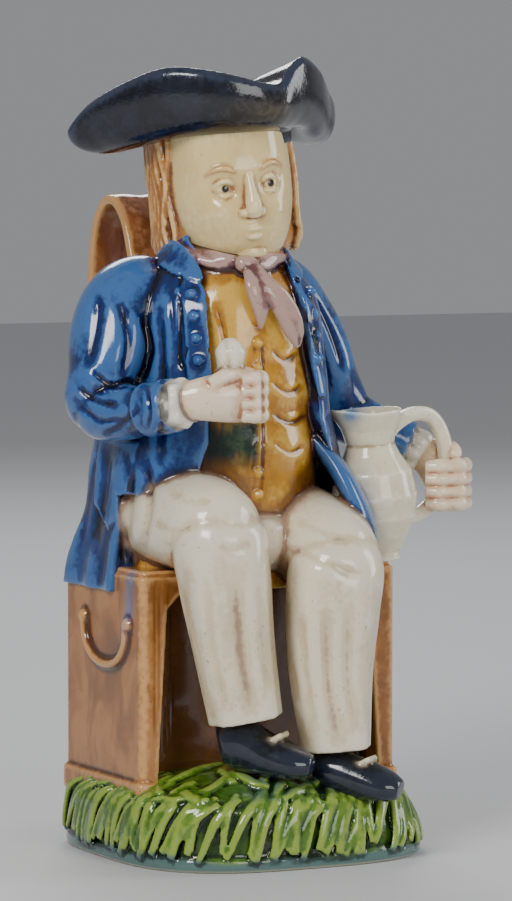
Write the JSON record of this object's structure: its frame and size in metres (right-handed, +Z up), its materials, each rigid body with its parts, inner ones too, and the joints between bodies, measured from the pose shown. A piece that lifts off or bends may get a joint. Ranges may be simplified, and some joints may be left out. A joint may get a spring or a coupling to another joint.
{
  "type": "toby jug",
  "caption": "Hollow glazed jug in the shape of a seated sailor in a three-cornered hat, on a sea chest, with a strap handle at the back.",
  "frame": {"origin": "centre of the flat underside", "axes": "+Z up through the hat; the figure faces -Y and its left hand, which holds the small pitcher, is at +X"},
  "size_m": [0.1607, 0.1523, 0.2922],
  "materials": {
    "glazed_earthenware": "gloss"
  },
  "bodies": {
    "root": {"toby_jug": "glazed_earthenware"}
  },
  "joints": []
}
